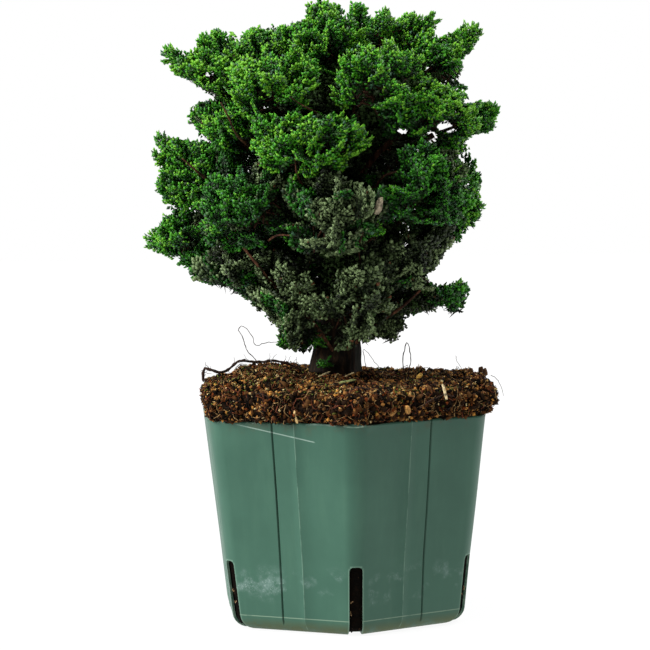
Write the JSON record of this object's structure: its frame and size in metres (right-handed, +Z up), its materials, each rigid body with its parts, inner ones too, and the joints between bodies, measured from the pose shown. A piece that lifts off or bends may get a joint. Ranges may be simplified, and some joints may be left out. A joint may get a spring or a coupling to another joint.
{
  "type": "potted dwarf conifer",
  "caption": "Small dense scale-leaved conifer with an upright trunk, in a tapering hexagonal plastic pot slit at its corners, its soil standing proud of the rim.",
  "frame": {"origin": "the middle of the pot's underside, on the ground", "axes": "+Z up; +X to the right and +Y away from the usual view, which looks along +Y at one corner of the pot"},
  "size_m": [0.1699, 0.1569, 0.2942],
  "materials": {
    "pot_plastic": "thin moulded plastic, satin, scuffed",
    "potting_mix": "moist fibrous mix with grains of fired clay, bark and moss",
    "bark": "dark furrowed bark",
    "foliage_light": "fresh scale leaves in rounded fans",
    "foliage_deep": "older shaded scale leaves"
  },
  "bodies": {
    "root": {"bough_lower_left": "bark", "bough_lower_left_outer": "bark", "bough_lower_right_outer": "bark", "bough_middle_back_left": "bark", "bough_middle_back_right": "bark", "bough_middle_front": "bark", "bough_middle_front_left": "bark", "bough_middle_left_outer": "bark", "bough_middle_right": "bark", "bough_middle_right_outer": "bark", "bough_top_back_left": "bark", "bough_top_back_right": "bark", "bough_top_front_right": "bark", "bough_top_left_outer": "bark", "bough_top_right_outer": "bark", "bough_upper_back": "bark", "bough_upper_back_left": "bark", "bough_upper_back_right": "bark", "bough_upper_front": "bark", "bough_upper_right": "bark", "bough_upper_right_outer": "bark", "mass_foot_back": "foliage_deep", "mass_foot_left": "foliage_deep", "mass_foot_right": "foliage_deep", "mass_lower_back_left": "foliage_deep", "mass_lower_back_right": "foliage_deep", "mass_lower_front": "foliage_deep", "mass_lower_front_left": "foliage_deep", "mass_lower_left": "foliage_deep", "mass_lower_left_outer": "foliage_deep", "mass_lower_right": "foliage_deep", "mass_lower_right_outer": "foliage_deep", "mass_middle_back_left": "foliage_deep", "mass_middle_back_right": "foliage_deep", "mass_middle_front": "foliage_deep", "mass_middle_front_left": "foliage_deep", "mass_middle_left_outer": "foliage_deep", "mass_middle_right": "foliage_deep", "mass_middle_right_outer": "foliage_deep", "mass_peak_tip": "foliage_light", "mass_top_back_left": "foliage_light", "mass_top_back_right": "foliage_light", "mass_top_front_left": "foliage_light", "mass_top_front_right": "foliage_light", "mass_top_left": "foliage_light", "mass_top_left_outer": "foliage_light", "mass_top_right": "foliage_light", "mass_top_right_outer": "foliage_light", "mass_upper_back": "foliage_light", "mass_upper_back_left": "foliage_light", "mass_upper_back_right": "foliage_light", "mass_upper_front": "foliage_light", "mass_upper_left": "foliage_light", "mass_upper_right": "foliage_light", "mass_upper_right_outer": "foliage_light", "pot": "pot_plastic", "root_ball": "potting_mix", "trunk": "bark"}
  },
  "joints": []
}
